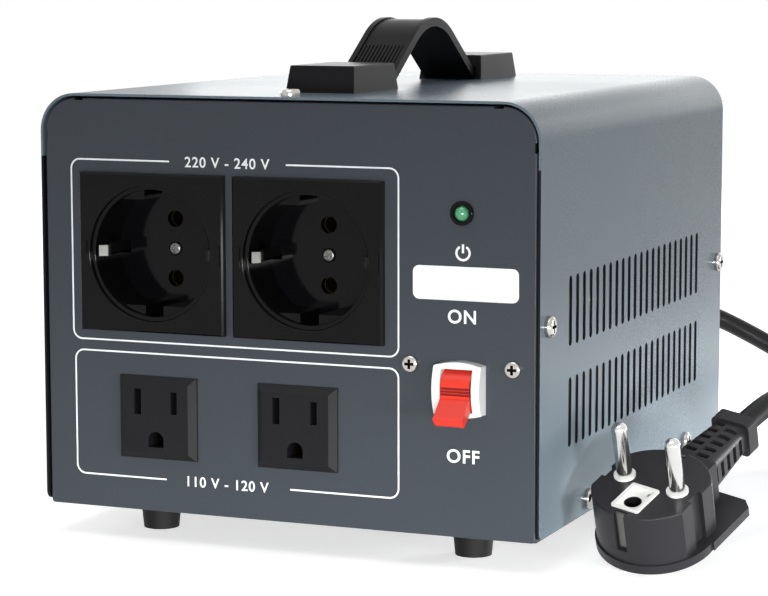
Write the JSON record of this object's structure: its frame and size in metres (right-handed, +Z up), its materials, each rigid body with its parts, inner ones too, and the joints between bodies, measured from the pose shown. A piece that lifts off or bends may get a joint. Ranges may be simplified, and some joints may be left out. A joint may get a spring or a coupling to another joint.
{
  "type": "voltage converter",
  "caption": "Desk-top voltage converter: steel case with carrying strap, round European and flat-blade American outlets, pilot lamp, breaker switch and mains lead with angled plug.",
  "frame": {"origin": "centre of the underside of the feet, under the middle of the case", "axes": "+X to the right seen from the front panel, +Y from the front panel to the rear, +Z up"},
  "size_m": [0.2946, 0.3096, 0.1645],
  "materials": {
    "case_paint": "satin powder coat, blue grey",
    "panel_paint": "satin powder coat, dark grey, with pale printed lines",
    "nickel_screws": "nickel plated",
    "black_handle": "moulded, fine grain",
    "black_gloss": "polished moulding",
    "black_outlet": "fine spark-eroded grain",
    "foot_rubber": "moulded",
    "brass_contacts": "bright",
    "earth_strip": "nickel plated",
    "lamp_green": "tinted clear epoxy",
    "plate_white": "bare white film",
    "switch_white": "polished moulding",
    "lever_red": "polished moulding",
    "zinc_steel": "zinc plated",
    "core_steel": "wound strip edges, varnished",
    "copper_winding": "enamelled copper under tape",
    "cord_rubber": "extruded, satin",
    "plug_rubber": "moulded, satin",
    "plug_white": "moulded",
    "wire_brown": "insulated copper",
    "wire_blue": "insulated copper",
    "wire_earth": "insulated copper",
    "block_plastic": "moulded"
  },
  "bodies": {
    "root": {"cover": "case_paint", "chassis": "panel_paint", "cover_screws": "nickel_screws", "handle_block_front": "black_handle", "handle_block_rear": "black_handle", "handle_strap": "black_handle", "handle_screws": "zinc_steel", "feet": "foot_rubber", "foot_screws": "zinc_steel", "foot_nuts": "zinc_steel", "eu_outlet_left": "black_gloss", "eu_outlet_right": "black_gloss", "eu_earth_clips": "earth_strip", "eu_contacts": "brass_contacts", "eu_screws": "nickel_screws", "us_outlet_left": "black_outlet", "us_outlet_right": "black_outlet", "us_contacts": "brass_contacts", "lamp_bezel": "black_gloss", "lamp_diode": "lamp_green", "lamp_nut": "zinc_steel", "name_plate": "plate_white", "switch_housing": "switch_white", "switch_pivot_pin": "zinc_steel", "switch_arm_pin": "zinc_steel", "switch_contact": "brass_contacts", "switch_terminals": "brass_contacts", "switch_screws": "zinc_steel", "switch_bracket": "zinc_steel", "bracket_screws": "nickel_screws", "transformer_core": "core_steel", "transformer_winding": "copper_winding", "transformer_pad_lower": "foot_rubber", "transformer_pad_upper": "foot_rubber", "transformer_dish": "zinc_steel", "transformer_bolt": "zinc_steel", "transformer_washer": "zinc_steel", "transformer_nut": "zinc_steel", "thermal_cutout": "black_outlet", "terminal_block": "block_plastic", "terminal_screws": "zinc_steel", "earth_stud": "zinc_steel", "earth_nut": "zinc_steel", "earth_lead": "wire_earth", "wires_live": "wire_brown", "wires_neutral": "wire_blue", "cable_gland": "black_outlet", "gland_nut": "black_outlet", "cord_sleeve": "plug_rubber", "cord_upper": "cord_rubber", "cord_coil": "cord_rubber", "cord_lower": "cord_rubber", "plug_body": "plug_rubber", "plug_relief": "plug_rubber", "plug_insert": "plug_white", "plug_pins": "nickel_screws", "plug_clips": "earth_strip"},
    "switch_lever": {"switch_lever": "lever_red"},
    "switch_arm": {"switch_arm": "brass_contacts"}
  },
  "joints": [
    {"name": "lever_hinge", "type": "hinge", "parent": "root", "child": "switch_lever", "pos_m": [0.059, -0.0995, 0.0556], "axis": [-1, 0, 0], "range_deg": [0, 76]},
    {"name": "arm_hinge", "type": "hinge", "parent": "root", "child": "switch_arm", "pos_m": [0.059, -0.0845, 0.0486], "axis": [-1, 0, 0], "range_deg": [0, 10]}
  ],
  "couplings": [
    {"joint": "arm_hinge", "follows": "lever_hinge", "ratio": 0.1315}
  ]
}
